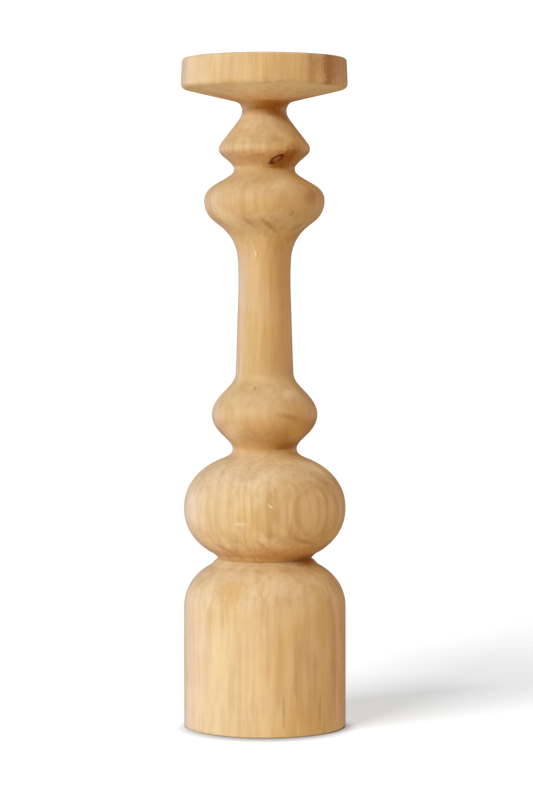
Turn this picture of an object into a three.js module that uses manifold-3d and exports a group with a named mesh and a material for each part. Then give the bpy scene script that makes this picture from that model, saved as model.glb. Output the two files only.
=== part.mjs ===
// A turned wooden candlestick: five turned sections stacked on one axis and pegged together
// with fluted hardwood dowels, a shallow dish on top for a pillar candle, and a felt pad underneath.
//
// Millimetres, +Z up. The origin is the middle of the footprint, on the surface it stands on.
//
// Every turned section is a solid of revolution. Its outside is a stretch of one shared outline,
// a list of (radius, height) points that runs up the whole stick, cut at the glued joints.

import * as THREE from "three";
import { mergeVertices } from "three/addons/utils/BufferGeometryUtils.js";
import Module from "manifold-3d";

const wasm = await Module();
wasm.setup();

// ---------------------------------------------------------------- driving dimensions

const HEIGHT = 400; // felt to rim
const GAP = 0.3; // glue line between two sections, and round a dowel
const AROUND = 40; // facets round a turned section
const STEP = 3.2; // about how long a facet is along a curved stretch of outline
const SLIVER = 0.05; // points of the outline closer than this to a joint or a neighbour are left out

const FELT = { radius: 42.5, thickness: 2, stand: 0.3 }; // stand: felt showing below the wood
const DRUM = { radius: 48.6, shoulder: 71.1, dome: 32.8, plump: 0.89, edge: 1.2 };
const BALL = { radius: 48.5, centre: 131.4, dome: 34.0, plump: 0.93 };
const GROOVE = { radius: 27.6, below: 97.2, above: 103.9 }; // the tight V between drum and ball
const RECESS = { radius: 42.5, depth: 5.5, fillet: 2 }; // candle seat in the dish

// Corners of the outline above the ball, and how far back from each one its curve starts.
const BALL_NECK = { r: 14.7, z: 165.1, ease: 11.0 };
const BULB = { r: 37.5, z: 186.9, ease: 16.7 };
const SHAFT_FOOT = { r: 17.4, z: 208.7, ease: 4.3 };
const SHAFT_WAIST = { r: 15.4, z: 270.8, ease: 9.1 };
const FLARE = { r: 16.7, z: 293.0, ease: 12.8 };
const COLLAR_LOW = { r: 34.2, z: 306.2, ease: 5.6 };
const COLLAR_HIGH = { r: 37.8, z: 320.2, ease: 9.0 };
const BEAD_NECK = { r: 15.3, z: 333.7, ease: 6.9 };
const BEAD = { r: 29.0, z: 345.7, ease: 5.0 };
const DISH_NECK = { r: 11.4, z: 368.8, ease: 7.0 };
const DISH_ROOT = { r: 15.7, z: 374.3, ease: 2.5 };
const DISH_BASE = { r: 49.9, z: 382.5, ease: 2.8 };
const DISH_RIM = { r: 49.2, z: HEIGHT, ease: 1.9 };

// Heights of the glued joints, each at the narrowest place of its neck.
const JOINTS = { drum: 101.0, ball: 167.1, collar: 333.9, bead: 369.2 };

// Dowels: radius, and how far each end reaches from the joint it pegs.
const DRUM_DOWEL = { radius: 8, down: 30, up: 30 };
const BALL_DOWEL = { radius: 7, down: 25, up: 25 };
const TOP_DOWEL = { radius: 6, down: 30, up: 17 }; // right through the bead, up into the dish
const DOWEL = { flutes: 16, flute: 0.45, chamfer: 1.0, end: 1.5 }; // end: air left beyond each end

const WOOD = new THREE.MeshStandardMaterial({ color: 0xdcb783, roughness: 0.55, metalness: 0 });
const HARDWOOD = new THREE.MeshStandardMaterial({ color: 0xd2b48c, roughness: 0.6, metalness: 0 });
const FELT_CLOTH = new THREE.MeshStandardMaterial({ color: 0x4a4038, roughness: 1, metalness: 0 });

// ---------------------------------------------------------------- outline

const at = (r, z) => new THREE.Vector2(r, z);

// Points up a domed outline, from one height to another. It is an ellipse about the axis, made
// a little fuller by raising its sine and cosine to the power "plump".
function domeArc({ radius, centre, dome, plump }, fromZ, toZ) {
  const angle = (z) => {
    const rise = (z - centre) / dome;
    return Math.sign(rise) * Math.asin(Math.abs(rise) ** (1 / plump));
  };
  const steps = Math.ceil(((angle(toZ) - angle(fromZ)) * dome) / STEP);
  const points = [];
  for (let i = 0; i <= steps; i++) {
    const a = THREE.MathUtils.lerp(angle(fromZ), angle(toZ), i / steps);
    const rise = Math.sign(a) * Math.abs(Math.sin(a)) ** plump;
    points.push(at(radius * Math.cos(a) ** plump, centre + dome * rise));
  }
  return points;
}

// The height, in its upper half, at which such a dome has a given radius.
function domeHeight({ radius, centre, dome, plump }, r) {
  const cosine = (r / radius) ** (1 / plump);
  return centre + dome * (1 - cosine ** 2) ** (plump / 2);
}

// Straight runs between corners, with a curve of the corner's own size in place of each corner.
// Two curves too long for the run between them share it, and meet in one point. The first and
// last corner stay sharp.
function eased(corners) {
  const points = [at(corners[0].r, corners[0].z)];
  for (let i = 1; i < corners.length - 1; i++) {
    const corner = at(corners[i].r, corners[i].z);
    const towards = (other) => {
      const run = at(other.r, other.z).sub(corner);
      const share = corners[i].ease / (corners[i].ease + (other.ease ?? 0));
      return corner.clone().add(run.setLength(Math.min(corners[i].ease, share * run.length())));
    };
    const curve = new THREE.QuadraticBezierCurve(towards(corners[i - 1]), corner, towards(corners[i + 1]));
    points.push(...curve.getPoints(Math.max(3, Math.round(curve.getLength() / STEP))));
  }
  points.push(at(corners.at(-1).r, corners.at(-1).z));
  return points.filter((p, i) => i === 0 || p.distanceTo(points[i - 1]) > SLIVER);
}

// The outside of the whole stick, from the drum's foot to the top of the dish's rim.
function wholeOutline() {
  const foot = eased([
    { r: FELT.radius + GAP, z: FELT.stand },
    { r: DRUM.radius, z: FELT.stand, ease: DRUM.edge },
    { r: DRUM.radius, z: DRUM.shoulder },
  ]);
  const dome = domeArc({ ...DRUM, centre: DRUM.shoulder }, DRUM.shoulder, GROOVE.below).slice(1);
  const intoNeck = domeHeight(BALL, BALL_NECK.r + 0.95 * BALL_NECK.ease);
  const ball = domeArc(BALL, GROOVE.above, intoNeck);
  const ballEnd = ball.pop();
  const upper = eased([
    { r: ballEnd.x, z: ballEnd.y },
    BALL_NECK,
    BULB,
    SHAFT_FOOT,
    SHAFT_WAIST,
    FLARE,
    COLLAR_LOW,
    COLLAR_HIGH,
    BEAD_NECK,
    BEAD,
    DISH_NECK,
    DISH_ROOT,
    DISH_BASE,
    DISH_RIM,
    { r: RECESS.radius, z: HEIGHT },
  ]);
  return [...foot, ...dome, at(GROOVE.radius, JOINTS.drum), ...ball, ...upper];
}

const OUTLINE = wholeOutline();

// The outline's radius at a height.
function radiusAt(z) {
  const i = OUTLINE.findIndex((p) => p.y >= z);
  const [a, b] = [OUTLINE[i - 1], OUTLINE[i]];
  return THREE.MathUtils.mapLinear(z, a.y, b.y, a.x, b.x);
}

// The stretch of outline between two heights, with a point exactly at each end.
function outlineBetween(low, high) {
  const inside = OUTLINE.filter((p) => p.y > low + SLIVER && p.y < high - SLIVER);
  return [at(radiusAt(low), low), ...inside, at(radiusAt(high), high)];
}

// ---------------------------------------------------------------- solids

// A profile of (radius, height) points turned round the Z axis.
function turned(profile) {
  return new THREE.LatheGeometry(profile, AROUND).rotateX(Math.PI / 2);
}

function toSolid(geometry) {
  const bare = geometry.clone().deleteAttribute("normal").deleteAttribute("uv");
  const merged = mergeVertices(bare, 1e-4);
  return new wasm.Manifold(
    new wasm.Mesh({
      numProp: 3,
      vertProperties: merged.attributes.position.array,
      triVerts: new Uint32Array(merged.index.array),
    }),
  );
}

function toGeometry(solid) {
  const { vertProperties, triVerts } = solid.getMesh();
  const geometry = new THREE.BufferGeometry();
  geometry.setAttribute("position", new THREE.BufferAttribute(vertProperties, 3));
  geometry.setIndex(new THREE.BufferAttribute(triVerts, 1));
  geometry.computeVertexNormals();
  return geometry;
}

function named(name, geometry, material) {
  const mesh = new THREE.Mesh(geometry, material);
  mesh.name = name;
  return mesh;
}

// Profile points of a blind dowel hole that opens upwards at a height, from its wall to the axis.
function holeDown(dowel, mouth, depth) {
  const radius = dowel.radius + GAP;
  return [at(radius, mouth), at(radius, mouth - depth), at(0, mouth - depth)];
}

// Profile points of a blind dowel hole that opens downwards at a height, from the axis to its wall.
function holeUp(dowel, mouth, depth) {
  const radius = dowel.radius + GAP;
  return [at(0, mouth + depth), at(radius, mouth + depth), at(radius, mouth)];
}

// Drum: the heavy foot, dished underneath for the felt, with a dowel hole in its top.
function drum() {
  const top = JOINTS.drum - GAP / 2;
  const ceiling = FELT.thickness + GAP;
  const recess = FELT.radius + GAP;
  return turned([
    at(0, ceiling),
    at(recess, ceiling),
    ...OUTLINE.filter((p) => p.y < top - SLIVER),
    at(radiusAt(top), top),
    ...holeDown(DRUM_DOWEL, top, DRUM_DOWEL.down + DOWEL.end),
  ]);
}

// A section between two joints, with a blind dowel hole in each end.
function section(lowJoint, lowDowel, highJoint, highDowel) {
  const low = lowJoint + GAP / 2;
  const high = highJoint - GAP / 2;
  return turned([
    ...holeUp(lowDowel, low, lowDowel.up + DOWEL.end),
    ...outlineBetween(low, high),
    ...holeDown(highDowel, high, highDowel.down + DOWEL.end),
  ]);
}

// Bead: bored right through, so that the long top dowel passes it.
function bead() {
  const low = JOINTS.collar + GAP / 2;
  const high = JOINTS.bead - GAP / 2;
  const bore = TOP_DOWEL.radius + GAP;
  return turned([at(bore, low), ...outlineBetween(low, high), at(bore, high), at(bore, low)]);
}

// Dish: its neck, its flat cone and its rim, with the candle's recess turned in the top.
function dish() {
  const low = JOINTS.bead + GAP / 2;
  const floor = HEIGHT - RECESS.depth;
  const inner = eased([
    { r: RECESS.radius, z: HEIGHT },
    { r: RECESS.radius, z: floor, ease: RECESS.fillet },
    { r: 0, z: floor },
  ]);
  const outside = OUTLINE.filter((p) => p.y > low + SLIVER).slice(0, -1);
  return turned([
    ...holeUp(TOP_DOWEL, low, TOP_DOWEL.up + DOWEL.end),
    at(radiusAt(low), low),
    ...outside,
    ...inner,
  ]);
}

// A round peg with straight flutes that let the glue out, chamfered at both ends. It reaches
// down from one joint and up from another, or both from the same one.
function dowel({ radius, down, up }, lowJoint, highJoint = lowJoint) {
  const low = lowJoint - down;
  const high = highJoint + up;
  const { flutes, flute, chamfer } = DOWEL;
  const crest = 0.3; // how far along its pitch a flute's crest runs
  const section = new THREE.Shape();
  for (let i = 0; i < flutes; i++) {
    const angle = (share) => ((i + share) / flutes) * 2 * Math.PI;
    for (const [share, r] of [[-crest, radius], [crest, radius], [0.5, radius - flute]]) {
      const [x, y] = [r * Math.cos(angle(share)), r * Math.sin(angle(share))];
      if (i === 0 && share === -crest) section.moveTo(x, y);
      else section.lineTo(x, y);
    }
  }
  const peg = new THREE.ExtrudeGeometry(section, { depth: high - low, bevelEnabled: false });
  const wide = radius + 1; // clear of the flutes, so that the blank only trims the ends
  const blank = turned([
    at(0, low),
    at(radius - chamfer, low),
    at(wide, low + chamfer + 1),
    at(wide, high - chamfer - 1),
    at(radius - chamfer, high),
    at(0, high),
  ]);
  return toGeometry(toSolid(peg.translate(0, 0, low)).intersect(toSolid(blank)));
}

// Felt: a die-cut disc glued up into the drum's recess.
function felt() {
  return turned([
    at(0, 0),
    at(FELT.radius, 0),
    at(FELT.radius, FELT.thickness),
    at(0, FELT.thickness),
  ]);
}

// ---------------------------------------------------------------- assembly

const candlestick = new THREE.Group();
candlestick.add(
  named("base_drum", drum(), WOOD),
  named("ball", section(JOINTS.drum, DRUM_DOWEL, JOINTS.ball, BALL_DOWEL), WOOD),
  named("stem", section(JOINTS.ball, BALL_DOWEL, JOINTS.collar, TOP_DOWEL), WOOD),
  named("bead", bead(), WOOD),
  named("dish", dish(), WOOD),
  named("drum_dowel", dowel(DRUM_DOWEL, JOINTS.drum), HARDWOOD),
  named("ball_dowel", dowel(BALL_DOWEL, JOINTS.ball), HARDWOOD),
  named("top_dowel", dowel(TOP_DOWEL, JOINTS.collar, JOINTS.bead), HARDWOOD),
  named("felt_pad", felt(), FELT_CLOTH),
);

export default candlestick;
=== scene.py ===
"""The looks of the turned wooden candlestick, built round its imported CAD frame.

Each turned section's outline is read from its CAD node and turned again, finely and smoothly. The
wood is one solid texture per section, so its grain runs through it and comes out differently on
every face, as it does on real turned wood. Lengths of shapes are in metres, and those of the wood's
figure and marks are in millimetres.
"""

import math

import bpy
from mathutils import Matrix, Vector


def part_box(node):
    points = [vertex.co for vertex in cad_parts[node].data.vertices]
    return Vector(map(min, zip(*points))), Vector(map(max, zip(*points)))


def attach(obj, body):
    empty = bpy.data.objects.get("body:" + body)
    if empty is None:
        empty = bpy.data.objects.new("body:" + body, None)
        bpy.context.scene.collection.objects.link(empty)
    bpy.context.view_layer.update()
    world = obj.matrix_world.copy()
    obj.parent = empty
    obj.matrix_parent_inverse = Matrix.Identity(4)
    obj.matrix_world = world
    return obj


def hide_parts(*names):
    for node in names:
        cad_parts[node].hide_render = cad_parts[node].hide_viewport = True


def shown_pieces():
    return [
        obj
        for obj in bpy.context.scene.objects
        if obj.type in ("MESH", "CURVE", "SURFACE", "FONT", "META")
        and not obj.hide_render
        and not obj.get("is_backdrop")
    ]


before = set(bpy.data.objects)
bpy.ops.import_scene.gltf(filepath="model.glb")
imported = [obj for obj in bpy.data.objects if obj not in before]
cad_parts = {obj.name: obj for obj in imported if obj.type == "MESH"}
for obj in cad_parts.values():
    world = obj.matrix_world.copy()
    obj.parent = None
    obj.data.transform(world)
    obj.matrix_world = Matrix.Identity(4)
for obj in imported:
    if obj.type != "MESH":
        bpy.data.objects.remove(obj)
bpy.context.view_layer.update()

SECTIONS = ["base_drum", "ball", "stem", "bead", "dish"]  # from the foot up
DOWELS = ["drum_dowel", "ball_dowel", "top_dowel"]
GLUE_GAP = 0.0003  # what the CAD leaves between two sections
HAIRLINE = 0.00002  # what shows of a tight glued joint

AROUND = 192  # facets round a turned piece
PITCH = 0.0008  # about how long a facet is along an outline
CREASE = math.radians(45)  # an outline's corner that turns less than this is rounded
UPRIGHT = math.cos(math.radians(30))  # a side that rises this share of its length is near upright
SAME_SIDE = math.radians(1)  # two points within this angle round the axis are on one meridian
SHADED_SHARP = math.radians(35)  # an edge that turns more than this looks sharp
TINY = 1e-5
MM = 1000.0  # millimetres in a metre

# ---------------------------------------------------------------- turned shapes


def meridian(node):
    """A turned CAD node's outline, as (radius, height) points from its lowest point out and up.

    An outline point is where the mesh's edges run along a meridian or to the axis."""
    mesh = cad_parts[node].data
    place = [(math.hypot(*v.co.xy), v.co.z) for v in mesh.vertices]
    facing = [math.atan2(v.co.y, v.co.x) for v in mesh.vertices]
    corner = [(round(r / TINY), round(z / TINY)) for r, z in place]
    point = dict(zip(corner, place))
    neighbours = {}
    for edge in mesh.edges:
        a, b = edge.vertices
        turn = abs(math.remainder(facing[a] - facing[b], math.tau))
        same_side = min(place[a][0], place[b][0]) < TINY or turn < SAME_SIDE
        if same_side and corner[a] != corner[b]:
            neighbours.setdefault(corner[a], set()).add(corner[b])
            neighbours.setdefault(corner[b], set()).add(corner[a])
    ends = [c for c in neighbours if len(neighbours[c]) == 1]
    start = min(ends or neighbours, key=lambda c: (c[1], c[0]))
    walk = [start, max(neighbours[start])]
    while True:
        onwards = neighbours[walk[-1]] - {walk[-2]}
        if not onwards or onwards == {start}:
            break
        walk.append(onwards.pop())
    return [Vector(point[c]) for c in walk], not ends


def joint_heights():
    """The height of each glued joint, half way between the two sections that meet there."""
    pairs = zip(SECTIONS, SECTIONS[1:])
    return [(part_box(low)[1].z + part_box(high)[0].z) / 2 for low, high in pairs]


def closed_up(points, joints):
    """The same outline with its ends moved towards the glued joints, to leave only a hairline."""
    moved = []
    for r, z in points:
        for joint in joints:
            if abs(z - joint) < GLUE_GAP:
                z = joint + math.copysign(HAIRLINE / 2, z - joint)
        moved.append(Vector((r, z)))
    return moved


def side_at_corner(side, other):
    """The direction of an outline's side at a sharp corner: straight up where it meets a flat face
    at the narrow waist of a neck, so that two sections run into one another smoothly."""
    if abs(other.y) < TINY and abs(side.y) > UPRIGHT:
        return Vector((0, math.copysign(1, side.y)))
    return side


def smooth(points, closed):
    """A finely stepped smooth line through an outline's points, with its sharp corners kept."""
    count = len(points)
    sides = count if closed else count - 1
    run = [points[(i + 1) % count] - points[i] for i in range(sides)]
    way = [r.normalized() for r in run]
    leave = list(way)  # the direction in which each side leaves its first point
    arrive = list(way)  # and that in which it comes to its last one
    for i in range(0 if closed else 1, sides):
        if way[i - 1].angle(way[i]) < CREASE:
            arrive[i - 1] = leave[i] = (run[i - 1] + run[i]).normalized()
        else:
            arrive[i - 1] = side_at_corner(way[i - 1], way[i])
            leave[i] = side_at_corner(way[i], way[i - 1])
    line = []
    for i in range(sides):
        length = run[i].length
        steps = max(1, math.ceil(length / PITCH))
        for k in range(steps):
            t = k / steps
            bend_out = leave[i] * length * t * (1 - t) ** 2
            bend_in = arrive[i] * length * t * t * (1 - t)
            line.append(points[i] + run[i] * t * t * (3 - 2 * t) + bend_out - bend_in)
    if not closed:
        line.append(points[-1])
    return line


def turned(name, outline, closed=False):
    """A mesh object made by turning an outline round the Z axis.

    An outline point that lies on the axis becomes one vertex."""
    vertices = []
    rings = []
    for r, z in outline:
        if r < TINY:
            rings.append([len(vertices)] * AROUND)
            vertices.append((0, 0, z))
            continue
        rings.append(list(range(len(vertices), len(vertices) + AROUND)))
        for k in range(AROUND):
            a = math.tau * k / AROUND
            vertices.append((r * math.cos(a), r * math.sin(a), z))
    faces = []
    for low, high in zip(rings, rings[1:] + rings[:1] if closed else rings[1:]):
        for k in range(AROUND):
            n = (k + 1) % AROUND
            corners = dict.fromkeys((low[k], low[n], high[n], high[k]))
            faces.append(tuple(corners))
    mesh = bpy.data.meshes.new(name)
    mesh.from_pydata(vertices, [], faces)
    mesh.shade_smooth()
    mesh.set_sharp_from_angle(angle=SHADED_SHARP)
    made = bpy.data.objects.new(name, mesh)
    bpy.context.scene.collection.objects.link(made)
    return made


# ---------------------------------------------------------------- finishes

SEED_STEP = (1, 1.7, 0.6)  # which way through the noise a seed moves
TURNED_AWAY = (0.15, 0.35)  # the cosines to a mark's side at which a face has none or all of it
OUTSIDE_MARK = 9.0  # any distance well past a mark's edge, which is 1


class Finish:
    """A material under construction, with a short call for each kind of node that it needs."""

    def __init__(self, name):
        self.material = bpy.data.materials.new(name)
        self.material.use_nodes = True
        self.tree = self.material.node_tree
        self.shader = self.tree.nodes["Principled BSDF"].inputs
        self.here = self.node("TexCoord", {}).outputs["Object"]
        self.facing = self.node("NewGeometry", {}).outputs["Normal"]

    def node(self, kind, inputs, **settings):
        made = self.tree.nodes.new("ShaderNode" + kind)
        for name, value in settings.items():
            setattr(made, name, value)
        for key, value in inputs.items():
            self.put(made.inputs[key], value)
        return made

    def put(self, socket, value):
        if isinstance(value, bpy.types.NodeSocket):
            self.tree.links.new(value, socket)
        else:
            socket.default_value = value

    def math(self, operation, a, b=0.0):
        return self.node("Math", {0: a, 1: b}, operation=operation).outputs[0]

    def vector(self, operation, a, b=(0, 0, 0)):
        made = self.node("VectorMath", {0: a, 1: b}, operation=operation)
        single = operation in ("DOT_PRODUCT", "DISTANCE", "LENGTH")
        return made.outputs["Value" if single else "Vector"]

    def scaled(self, a, factor):
        return self.node("VectorMath", {0: a, "Scale": factor}, operation="SCALE").outputs[0]

    def ramp(self, value, low, high, to_low=0.0, to_high=1.0):
        """value eased from one range to another, and held at its ends."""
        inputs = {0: value, 1: low, 2: high, 3: to_low, 4: to_high}
        return self.node("MapRange", inputs, interpolation_type="SMOOTHSTEP").outputs[0]

    def mix(self, amount, a, b):
        return self.node("Mix", {0: amount, 6: a, 7: b}, data_type="RGBA").outputs[2]

    def noise(self, where, size, detail, seed=0.0):
        """Noise from 0 to 1 whose patches are about size millimetres, along X, Y and Z."""
        shrink = tuple(1 / s for s in size)
        shift = tuple(seed * share for share in SEED_STEP)
        place = self.vector("ADD", self.vector("MULTIPLY", where, shrink), shift)
        return self.node("TexNoise", {"Vector": place, "Scale": 1.0, "Detail": detail}).outputs[0]

    def wobble(self, where, size, detail, seed):
        """The same noise, from -0.5 to 0.5."""
        return self.math("SUBTRACT", self.noise(where, size, detail, seed), 0.5)

    def noise_along(self, value, size, detail, seed):
        """Noise from 0 to 1 along a single number."""
        place = self.math("ADD", self.math("DIVIDE", value, size), seed)
        inputs = {"W": place, "Scale": 1.0, "Detail": detail}
        return self.node("TexNoise", inputs, noise_dimensions="1D").outputs[0]

    def oval(self, where, side, height, wide, tall, tilt=0.0):
        """How far a place is from the middle of an oval mark on a turned surface, the mark's edge
        being 1. Only faces turned towards the mark's side have it, so not the dish's inside. side
        is in degrees to the right of the front, tilt is how steeply the mark rises to the right,
        and where, height, wide and tall are in millimetres."""
        side, tilt = math.radians(side), math.radians(tilt)
        out = Vector((math.sin(side), -math.cos(side), 0))
        right = Vector((math.cos(side), math.sin(side), 0))
        up = Vector((0, 0, 1))
        along = (right * math.cos(tilt) + up * math.sin(tilt)) * 2 / wide
        across = (up * math.cos(tilt) - right * math.sin(tilt)) * 2 / tall
        place = self.vector("SUBTRACT", where, up * height)
        u = self.vector("DOT_PRODUCT", place, along)
        v = self.vector("DOT_PRODUCT", place, across)
        towards = self.vector("DOT_PRODUCT", self.facing, out)
        away = self.ramp(towards, *TURNED_AWAY, OUTSIDE_MARK, 0.0)
        return self.vector("LENGTH", self.node("CombineXYZ", {0: u, 1: v, 2: away}).outputs[0])

    def bump(self, height, distance, under=None):
        inputs = {"Height": height, "Distance": distance, "Strength": 1.0}
        if under is not None:
            inputs["Normal"] = under
        return self.node("Bump", inputs).outputs[0]


def rgb(red, green, blue):
    """A colour as picked on a screen, from 0 to 255, made linear for a shader."""
    shares = [c / 255 for c in (red, green, blue)]
    linear = [((s + 0.055) / 1.055) ** 2.4 if s > 0.04 else s / 12.92 for s in shares]
    return (*linear, 1.0)


CREAM = rgb(250, 232, 196)
PALE = rgb(238, 213, 178)
GOLDEN = rgb(233, 203, 156)
PINKISH = rgb(233, 205, 173)
LATEWOOD = rgb(192, 146, 84)
AMBER = rgb(216, 166, 96)
STREAK = rgb(180, 126, 66)
UMBER = rgb(162, 96, 26)
STAIN = rgb(168, 101, 8)
KNOT_BROWN = rgb(98, 38, 0)
KNOT_HEART = rgb(180, 122, 62)

# Each section's blank. pith: how far from the axis its growth rings' middle lies, in millimetres.
# seed: what makes its grain unlike the others'. rings: how much its growth rings show. depth: how
# much deeper its colour is than the palest one's.
BLANKS = {
    "base_drum": {"pith": 150, "seed": 3.1, "rings": 0.14, "depth": 0.0},
    "ball": {"pith": 70, "seed": 11.7, "rings": 0.32, "depth": 0.05},
    "stem": {"pith": 130, "seed": 23.9, "rings": 0.2, "depth": 0.3},
    "bead": {"pith": 70, "seed": 37.3, "rings": 0.18, "depth": 0.05},
    "dish": {"pith": 160, "seed": 51.2, "rings": 0.16, "depth": 0.1},
}
PITH_SIDE = math.radians(34)  # how far right of the front every pith lies
RING_WIDTH = 5.4  # about how far apart the growth rings are, in millimetres
RING_UNEVEN = 1.8  # how far they stray from that, in rings
GRAIN_SWAY = 11.0  # how far the grain strays from straight, in millimetres
SWAY_LENGTH = (45, 45, 110)  # over about what length it does so
JOINT_SHADE = 9.0  # how far from a glued joint the painted shade in the necks reaches, in millimetres

# Marks in the wood, and patches of painted shade in necks and on shaded sides: the side in degrees
# right of the front, the height as a share of the section, the width and height in millimetres, the
# tilt in degrees, the colour and how strong it is.
MARKS_AND_SHADE = {
    "base_drum": [
        (13, 0.15, 2.6, 34, 0, STREAK, 0.45),
        (42, 0.14, 4.0, 32, 0, STREAK, 0.35),
        (22, 0.40, 3.0, 50, 0, STREAK, 0.25),
        (58, 0.40, 14, 80, 0, STREAK, 0.3),
        # painted shade in the groove under the ball, on its shaded right side
        (56, 1.0, 34, 9, 0, UMBER, 0.8),
        (-1, 0.62, 4.0, 20, 0, PALE, 0.7),
        (-6, 0.38, 5.0, 26, 0, PALE, 0.7),
        (-34, 0.40, 20, 62, 0, CREAM, 0.35),
        (-26, 0.84, 30, 24, -10, AMBER, 0.65),
    ],
    "ball": [
        (4, 0.53, 5.5, 2.0, -40, CREAM, 0.9),
        (-17, 0.37, 11, 2.6, 0, CREAM, 0.6),
        (-37, 0.12, 22, 5, -36, STREAK, 0.5),
        (0, 0.15, 22, 5, -40, STREAK, 0.5),
        (33, 0.20, 30, 4, -16, STREAK, 0.45),
        # painted shade on the ball's underside at the groove, on its shaded right side
        (56, 0.0, 34, 11, 0, UMBER, 0.7),
        (60, 0.80, 26, 16, -30, CREAM, 0.6),
    ],
    "stem": [
        (19, 0.95, 24, 8, 20, CREAM, 0.35),
        (52, 0.90, 20, 14, 10, UMBER, 0.5),
        (5, 0.80, 20, 4, -37, STREAK, 0.7),
        (-19, 0.81, 12, 4, -50, STREAK, 0.45),
        (48, 0.79, 12, 4, 30, STREAK, 0.5),
        (29, 0.84, 3.6, 5, 0, STREAK, 0.45),
        (-19, 0.70, 2.0, 12, 12, CREAM, 0.8),
        (-15, 0.69, 2.0, 10, -14, STREAK, 0.45),
        (-15, 0.22, 3.4, 3.4, 0, STREAK, 0.6),
        (27, 0.12, 24, 6, -12, STREAK, 0.5),
        (36, 0.20, 18, 8, 15, CREAM, 0.4),
        # painted shade in the neck under the bulb, on its right side
        (36, 0.01, 26, 8, 0, STAIN, 0.6),
        (48, 0.06, 26, 14, -20, CREAM, 0.7),
        (-46, 0.06, 26, 14, 20, CREAM, 0.65),
        (-44, 0.82, 24, 16, -30, CREAM, 0.5),
    ],
    "bead": [
        # painted shadow of the dish on the bead's upper neck
        (34, 0.97, 22, 12, -20, STAIN, 0.6),
        # painted shade in the neck under the bead's widest edge, on its right side
        (28, 0.03, 24, 8, 0, STAIN, 0.6),
        (31, 0.55, 20, 8, -30, CREAM, 0.3),
        (-8, 0.22, 12, 2.5, 6, STREAK, 0.4),
    ],
    "dish": [
        # painted shade: a dark band on the rim's shaded right side
        (50, 0.72, 18, 60, 0, UMBER, 0.65),
        (34, 0.72, 12, 60, 0, STREAK, 0.45),
        # painted shade over the rim's shaded right side
        (60, 0.85, 50, 44, 0, UMBER, 0.5),
        # painted shadow of the rim on the dish's neck
        (14, 0.08, 26, 12, 0, STAIN, 0.7),
    ],
}
# Growth rings that a round face cuts as ovals: the side, height, width and height as above.
OVALS = {"ball": [(45, 0.47, 70, 46), (44, 0.47, 54, 36), (42, 0.47, 36, 30)]}

OVAL_STRENGTH = 0.22
OVAL_WAVER = 0.45

# The knot on the bead's lower cone: where it is, then the width, height and tilt of its dark ring
# and of the orange stain to the right of it, which is also painted shade on the cone's shaded side,
# in degrees and millimetres.
KNOT_SIDE = 20.0
KNOT_SHARE = 0.15
KNOT_RING = (8.4, 4.2, 30)
KNOT_STAIN_AND_SHADE = (30, 18, 35)
KNOT_STAIN_AND_SHADE_RIGHT = 16
KNOT_STAIN_AND_SHADE_UP = 1.5
# Where the ring is fainter: an oval a little right of the knot and below it.
KNOT_GAP = (5, 3)
KNOT_GAP_RIGHT = 6
KNOT_GAP_DOWN = 2


def knot(f, here, colour, height):
    """A small knot: a dark ring round a tan heart, in a wide patch of orange-stained wood that is
    also painted shade on the lower cone's right side.

    It gives the new colour, and how dark the ring is from 0 to 1."""
    ragged = f.wobble(here, (2.5, 2.5, 2.5), 3.0, 8.0)
    # partly the knot's stain, partly painted shade on the shaded lower cone
    stain_and_shade = f.oval(here, KNOT_SIDE + KNOT_STAIN_AND_SHADE_RIGHT, height + KNOT_STAIN_AND_SHADE_UP, *KNOT_STAIN_AND_SHADE)
    stain_and_shade = f.math("ADD", stain_and_shade, ragged)
    colour = f.mix(f.ramp(stain_and_shade, 0.1, 1.0, 0.85, 0.0), colour, STAIN)
    ring = f.oval(here, KNOT_SIDE, height, *KNOT_RING)
    ring = f.math("ADD", ring, f.math("MULTIPLY", ragged, 0.3))
    colour = f.mix(f.ramp(ring, 0.85, 1.05, 0.8, 0.0), colour, KNOT_HEART)
    dark = f.math("MULTIPLY", f.ramp(ring, 0.4, 0.7), f.ramp(ring, 0.9, 1.2, 0.92, 0.0))
    gap = f.oval(here, KNOT_SIDE + KNOT_GAP_RIGHT, height - KNOT_GAP_DOWN, *KNOT_GAP)
    dark = f.math("MULTIPLY", dark, f.ramp(gap, 0.6, 1.2, 0.35, 1.0))
    return f.mix(dark, colour, KNOT_BROWN), dark


def swayed(f, here, seed):
    """A place moved sideways by slow noise, so that grain drawn straight along Z wanders."""
    x = f.wobble(here, SWAY_LENGTH, 2.0, seed)
    y = f.wobble(here, SWAY_LENGTH, 2.0, seed + 9)
    sway = f.node("CombineXYZ", {0: x, 1: y}).outputs[0]
    return f.vector("ADD", here, f.scaled(sway, GRAIN_SWAY))


def growth_lines(f, grain, blank, broken):
    """How much of a place is the dark edge of a growth ring, from 0 to 1. Some rings are fainter
    than others, and each one fades here and there."""
    flat = f.vector("MULTIPLY", grain, (1, 1, 0))
    away = blank["pith"]
    pith = (away * math.sin(PITH_SIDE), -away * math.cos(PITH_SIDE), 0)
    ring = f.vector("DISTANCE", flat, pith)
    uneven = f.math("MULTIPLY", f.noise_along(ring, 16, 1.0, blank["seed"]), RING_UNEVEN)
    count = f.math("ADD", f.math("DIVIDE", ring, RING_WIDTH), uneven)
    phase = f.math("FRACT", count)
    line = f.math("MULTIPLY", f.ramp(phase, 0.25, 0.85), f.ramp(phase, 0.85, 1.0, 1.0, 0.0))
    weight = f.noise_along(f.math("FLOOR", count), 0.37, 0.0, blank["seed"])
    line = f.math("MULTIPLY", line, f.ramp(weight, 0.35, 0.65, 0.15, 1.0))
    return f.math("MULTIPLY", line, f.ramp(broken, 0.35, 0.6, 0.2, 1.0))


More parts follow.
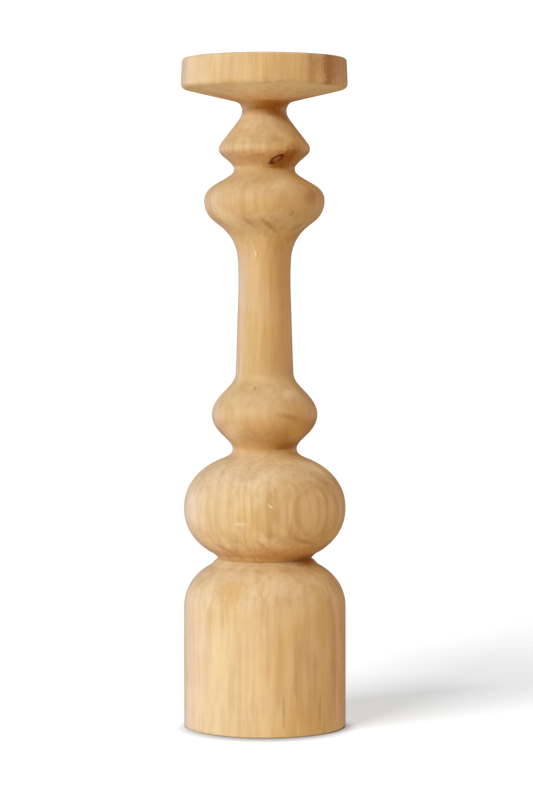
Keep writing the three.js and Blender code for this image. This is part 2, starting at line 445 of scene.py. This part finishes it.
def ground_colour(f, here, sloping, seed):
    """The wood's colour without its figure: cloudy, and pinkish in patches and on sloping faces."""
    clouds = f.noise(here, (26, 26, 42), 2.0, seed + 7)
    patches = f.noise(here, (20, 20, 28), 1.0, seed + 12)
    colour = f.mix(f.ramp(clouds, 0.38, 0.62), PALE, GOLDEN)
    colour = f.mix(f.ramp(patches, 0.5, 0.66, 0.0, 0.7), colour, PINKISH)
    return f.mix(f.ramp(sloping, 0.25, 0.9, 0.0, 0.6), colour, PINKISH)


def shaded_near_joints(f, here, facing_up, colour):
    """Painted shade: the colour made deeper beside each glued joint, where the necks lie in shade,
    but not on faces that look upwards, which catch the light.
    """
    height = f.vector("DOT_PRODUCT", here, (0, 0, 1))
    # painted shade at half strength on faces that look sideways or down, none on faces that look up
    shaded_share = f.ramp(facing_up, 0.2, 0.8, 0.5, 0.0)
    for joint in joint_heights():
        away = f.math("ABSOLUTE", f.math("SUBTRACT", height, MM * joint))
        near = f.ramp(away, 0.0, JOINT_SHADE, 1.0, 0.0)
        colour = f.mix(f.math("MULTIPLY", near, shaded_share), colour, AMBER)
    return colour


def marked_and_shaded(f, here, section, level, broken, colour):
    """The colour with the section's marks and painted shade on it, and then the rings that it shows
    as ovals.
    """
    frayed = f.wobble(here, (1.2, 1.2, 3), 3.0, 4.0)
    for side, share, wide, tall, tilt, tint, strength in MARKS_AND_SHADE[section]:
        edge = f.math("ADD", f.oval(here, side, level(share), wide, tall, tilt), frayed)
        colour = f.mix(f.ramp(edge, 0.1, 1.0, strength, 0.0), colour, tint)
    wavy = f.math("MULTIPLY", f.wobble(here, (24, 24, 30), 1.0, 6.0), OVAL_WAVER)
    faded = f.ramp(broken, 0.3, 0.6, 0.3, 1.0)
    for side, share, wide, tall in OVALS.get(section, []):
        edge = f.math("ADD", f.oval(here, side, level(share), wide, tall), wavy)
        inner = f.ramp(edge, 0.75, 1.0)
        band = f.math("MULTIPLY", inner, f.ramp(edge, 1.0, 1.1, OVAL_STRENGTH, 0.0))
        colour = f.mix(f.math("MULTIPLY", band, faded), colour, STREAK)
    return colour


def wood(section):
    """Pale turned wood, satin waxed, cut from the section's own blank."""
    f = Finish("wood_" + section)
    blank = BLANKS[section]
    seed = blank["seed"]
    low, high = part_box(section)

    def level(share):
        """The height in millimetres at a share of the section's own height."""
        return MM * (low.z + share * (high.z - low.z))

    here = f.scaled(f.here, MM)
    grain = swayed(f, here, seed)
    facing_up = f.vector("DOT_PRODUCT", f.facing, (0, 0, 1))
    sloping = f.math("ABSOLUTE", facing_up)
    broken = f.noise(here, (30, 30, 40), 1.0, seed + 3)
    fibres = f.noise(grain, (0.6, 0.6, 32), 3.0, seed)
    streaks = f.noise(grain, (3.4, 3.4, 40), 2.0, seed + 2)
    broad = f.noise(grain, (9, 9, 70), 1.0, seed + 6)
    light = f.noise(grain, (3.0, 3.0, 30), 1.0, seed + 8)
    pores = f.ramp(f.noise(grain, (0.3, 0.3, 3.5), 1.0, seed + 5), 0.66, 0.74)
    figure = f.noise(grain, (17, 17, 10), 1.5, seed + 14)
    curly = f.math("MULTIPLY", f.ramp(figure, 0.48, 0.62), f.ramp(sloping, 0.1, 0.6, 0.05, 0.18))

    dark = f.math("MULTIPLY", growth_lines(f, grain, blank, broken), blank["rings"])
    dark = f.math("ADD", dark, f.ramp(broad, 0.45, 0.65, 0.0, 0.14))
    dark = f.math("ADD", dark, f.ramp(streaks, 0.45, 0.6, 0.0, 0.16))
    dark = f.math("ADD", dark, f.ramp(fibres, 0.45, 0.8, 0.0, 0.05))
    dark = f.math("ADD", dark, f.math("MULTIPLY", pores, 0.05))
    dark = f.math("ADD", dark, curly)
    colour = f.mix(dark, ground_colour(f, here, sloping, seed), LATEWOOD)
    colour = f.mix(f.ramp(light, 0.54, 0.7, 0.0, 0.4), colour, PALE)
    colour = f.mix(blank["depth"], colour, LATEWOOD)
    colour = shaded_near_joints(f, here, facing_up, colour)
    colour = marked_and_shaded(f, here, section, level, broken, colour)
    relief = f.bump(fibres, 0.00008)
    if section == "bead":
        colour, dent = knot(f, here, colour, level(KNOT_SHARE))
        relief = f.bump(dent, -0.0003, under=relief)

    f.put(f.shader["Base Color"], colour)
    f.put(f.shader["Roughness"], f.ramp(streaks, 0.3, 0.7, 0.5, 0.6))
    f.put(f.shader["Specular IOR Level"], 0.4)
    f.put(f.shader["Coat Weight"], 0.08)
    f.put(f.shader["Coat Roughness"], 0.35)
    f.put(f.shader["Normal"], f.bump(pores, -0.00005, under=relief))
    return f.material


def beech(name):
    """Raw beech for the dowels: pinkish, with short dark flecks along the grain."""
    f = Finish(name)
    here = f.scaled(f.here, MM)
    fibres = f.noise(here, (0.6, 0.6, 30), 3.0)
    flecks = f.ramp(f.noise(here, (0.35, 0.35, 2.4), 1.0, 3.0), 0.62, 0.7)
    colour = f.mix(fibres, rgb(222, 188, 150), rgb(200, 160, 120))
    colour = f.mix(f.math("MULTIPLY", flecks, 0.5), colour, rgb(140, 96, 62))
    f.put(f.shader["Base Color"], colour)
    f.put(f.shader["Roughness"], 0.65)
    f.put(f.shader["Normal"], f.bump(fibres, 0.0001))
    return f.material


def felt(name):
    """Dark brown wool felt: matted fibres in every direction, mottled and soft at its edges."""
    f = Finish(name)
    here = f.scaled(f.here, MM)
    tangle = f.noise(here, (1.1, 0.25, 0.5), 4.0)
    crossed = f.noise(here, (0.25, 1.1, 0.5), 4.0, 5.0)
    fuzz = f.math("MULTIPLY", f.math("ADD", tangle, crossed), 0.5)
    mottled = f.noise(here, (9, 9, 9), 2.0, 2.0)
    colour = f.mix(f.ramp(fuzz, 0.35, 0.65), rgb(66, 56, 48), rgb(112, 98, 86))
    colour = f.mix(f.ramp(mottled, 0.4, 0.7, 0.0, 0.35), colour, rgb(84, 70, 60))
    f.put(f.shader["Base Color"], colour)
    f.put(f.shader["Roughness"], 0.95)
    f.put(f.shader["Sheen Weight"], 0.4)
    f.put(f.shader["Sheen Roughness"], 0.5)
    f.put(f.shader["Normal"], f.bump(fuzz, 0.0004))
    return f.material


# ---------------------------------------------------------------- the candlestick


def make_sections():
    for node in SECTIONS:
        points, closed = meridian(node)
        outline = smooth(closed_up(points, joint_heights()), closed)
        piece = turned("turned_" + node, outline, closed)
        piece.data.materials.append(wood(node))
        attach(piece, "root")
        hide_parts(node)


def finish_dowels():
    material = beech("beech")
    for node in DOWELS:
        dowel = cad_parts[node]
        dowel.data.materials.clear()
        dowel.data.materials.append(material)


FELT_ROUND = 0.0003  # how round the felt's cut edges are
FELT_STEPS = 6  # facets round each of them


def make_felt():
    low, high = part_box("felt_pad")
    radius = high.x
    turns = [math.radians(90 * k / FELT_STEPS) for k in range(FELT_STEPS + 1)]
    edge = [(FELT_ROUND * (1 - math.sin(a)), FELT_ROUND * (1 - math.cos(a))) for a in turns]
    outline = [Vector((0, low.z))]
    outline += [Vector((radius - inwards, low.z + up)) for inwards, up in edge]
    outline += [Vector((radius - inwards, high.z - down)) for inwards, down in reversed(edge)]
    outline.append(Vector((0, high.z)))
    pad = turned("felt_disc", outline)
    pad.data.materials.append(felt("wool_felt"))
    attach(pad, "root")
    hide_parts("felt_pad")


# ---------------------------------------------------------------- the studio

CAMERA_PLACE = (0.0012, -1.55, 0.2621)
CAMERA_DOWN = math.radians(2.304)
CAMERA_ROLL = math.radians(0.06)
CAMERA_LENS = 118.08
CAMERA_SENSOR = 36  # how tall it is
FLOOR_SIDE = 60.0
FLOOR_DROP = 0.00005  # keeps the floor just clear of the felt
FLOOR_GREY = (0.3, 0.3, 0.3, 1)
BACKDROP_WHITE = (1.1, 1.1, 1.1, 1)
BLACK = (0, 0, 0, 1)

# The key light, in degrees. A side is measured from the front, and is negative to the left.
KEY_FROM = -40
KEY_UP = 23
KEY_LAMPS = 5
KEY_SPREAD = 28
KEY_TALL = 8
KEY_COLOUR = (0.495, 0.53, 0.51)
FLOOR_KEY = 3.2  # the key on the floor, which is a dull grey and takes more light to look white

# Soft fill: the side and height in degrees that it comes from, how wide it is, and its colour.
FILLS = [
    ("fill_left_behind", -120, 0, 40, (0.30, 0.26, 0.38)),
    ("fill_left", -80, 0, 60, (0.17, 0.19, 0.16)),
    ("fill_front_above", 0, 50, 60, (0.26, 0.22, 0.09)),
    ("fill_front_below", 0, -45, 60, (0.40, 0.21, 0.05)),
    ("fill_right_above", 70, 45, 60, (0.20, 0.10, 0.01)),
    ("fill_right_behind", 120, 0, 40, (0.25, 0.19, 0.15)),
    ("fill_above", 0, 80, 50, (0.12, 0.19, 0.33)),
    ("fill_below", 0, -80, 40, (0.31, 0.41, 0.37)),
]
BACK_FILL = ("fill_behind", 180, 0, 30, (0.5, 0.42, 0.26))
FLOOR_FILL = ("floor_fill", 180, 84, 12, (2.15, 2.15, 2.15))


def make_camera():
    data = bpy.data.cameras.new("camera")
    data.sensor_fit = "VERTICAL"
    data.sensor_height = CAMERA_SENSOR
    data.lens = CAMERA_LENS
    camera = bpy.data.objects.new("camera", data)
    camera.location = CAMERA_PLACE
    camera.rotation_euler = (math.pi / 2 - CAMERA_DOWN, CAMERA_ROLL, 0)
    bpy.context.scene.collection.objects.link(camera)
    bpy.context.scene.camera = camera


def distant_lamp(name, side, up, wide, colour):
    """Even light from a patch of sky, given by its side, height and width in degrees.

    A surface that faces the patch comes out as bright as its own colour times the light's."""
    data = bpy.data.lights.new(name, "SUN")
    data.energy = math.pi
    data.color = colour
    data.angle = math.radians(wide)
    data.cycles.use_multiple_importance_sampling = False  # it loses light from a linked lamp
    lamp = bpy.data.objects.new(name, data)
    side, up = math.radians(side), math.radians(up)
    towards = Vector((math.sin(side) * math.cos(up), -math.cos(side) * math.cos(up), math.sin(up)))
    lamp.rotation_euler = towards.to_track_quat("Z", "Y").to_euler()
    bpy.context.scene.collection.objects.link(lamp)
    return lamp


def key_lamps(name, colour):
    """A wide, low strip of soft light at the front left, as a row of distant lamps side by side."""
    sides = [KEY_FROM + KEY_SPREAD * (i / (KEY_LAMPS - 1) - 0.5) for i in range(KEY_LAMPS)]
    share = [c / KEY_LAMPS for c in colour]
    return [distant_lamp(name, side, KEY_UP, KEY_TALL, share) for side in sides]


def group(name, members):
    made = bpy.data.collections.new(name)
    for member in members:
        made.objects.link(member)
    return made


def make_lights(floor):
    """The candlestick and the floor each have lamps of their own, so that the warm fill doesn't
    tint the floor. The floor's fill comes from nearly overhead and is blocked by the foot alone,
    which leaves a short dark edge where the foot meets the floor."""
    stick = group("lit_stick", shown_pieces())
    behind = distant_lamp(*BACK_FILL)
    behind.visible_glossy = False  # a glancing reflection of it would edge the candlestick in white
    for lamp in key_lamps("key", KEY_COLOUR) + [distant_lamp(*fill) for fill in FILLS] + [behind]:
        lamp.light_linking.receiver_collection = stick
    ground = group("lit_floor", [floor])
    above = distant_lamp(*FLOOR_FILL)
    above.light_linking.blocker_collection = group("foot", [bpy.data.objects["turned_base_drum"]])
    for lamp in key_lamps("floor_key", [FLOOR_KEY] * 3) + [above]:
        lamp.light_linking.receiver_collection = ground


def make_surroundings():
    """A backdrop that is white to the camera and dark otherwise: the lamps do all the lighting."""
    world = bpy.data.worlds.new("studio")
    world.use_nodes = True
    nodes = world.node_tree.nodes
    links = world.node_tree.links
    dark = nodes["Background"]
    dark.inputs["Color"].default_value = BLACK
    seen = nodes.new("ShaderNodeBackground")
    seen.inputs["Color"].default_value = BACKDROP_WHITE
    rays = nodes.new("ShaderNodeLightPath")
    shown = nodes.new("ShaderNodeMixShader")
    links.new(rays.outputs["Is Camera Ray"], shown.inputs[0])
    links.new(dark.outputs[0], shown.inputs[1])
    links.new(seen.outputs[0], shown.inputs[2])
    links.new(shown.outputs[0], nodes["World Output"].inputs[0])
    bpy.context.scene.world = world


def make_floor():
    """A floor that comes out white where its key light reaches it, and sheds no light itself."""
    half = FLOOR_SIDE / 2
    corners = [(-half, -half, 0), (half, -half, 0), (half, half, 0), (-half, half, 0)]
    mesh = bpy.data.meshes.new("floor")
    mesh.from_pydata(corners, [], [(0, 1, 2, 3)])
    floor = bpy.data.objects.new("floor", mesh)
    floor.location.z = -FLOOR_DROP
    floor.visible_shadow = False
    material = bpy.data.materials.new("pale_floor")
    material.use_nodes = True
    nodes = material.node_tree.nodes
    links = material.node_tree.links
    nodes.remove(nodes["Principled BSDF"])
    paper = nodes.new("ShaderNodeBsdfDiffuse")
    paper.inputs["Color"].default_value = FLOOR_GREY
    unlit = nodes.new("ShaderNodeBsdfDiffuse")
    unlit.inputs["Color"].default_value = BLACK
    rays = nodes.new("ShaderNodeLightPath")
    either = nodes.new("ShaderNodeMixShader")
    links.new(rays.outputs["Is Camera Ray"], either.inputs[0])
    links.new(unlit.outputs[0], either.inputs[1])
    links.new(paper.outputs[0], either.inputs[2])
    links.new(either.outputs[0], nodes["Material Output"].inputs[0])
    mesh.materials.append(material)
    bpy.context.scene.collection.objects.link(floor)
    floor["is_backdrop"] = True
    return floor


make_sections()
finish_dowels()
make_felt()
make_camera()
make_lights(make_floor())
make_surroundings()
bpy.context.scene.view_settings.view_transform = "Standard"
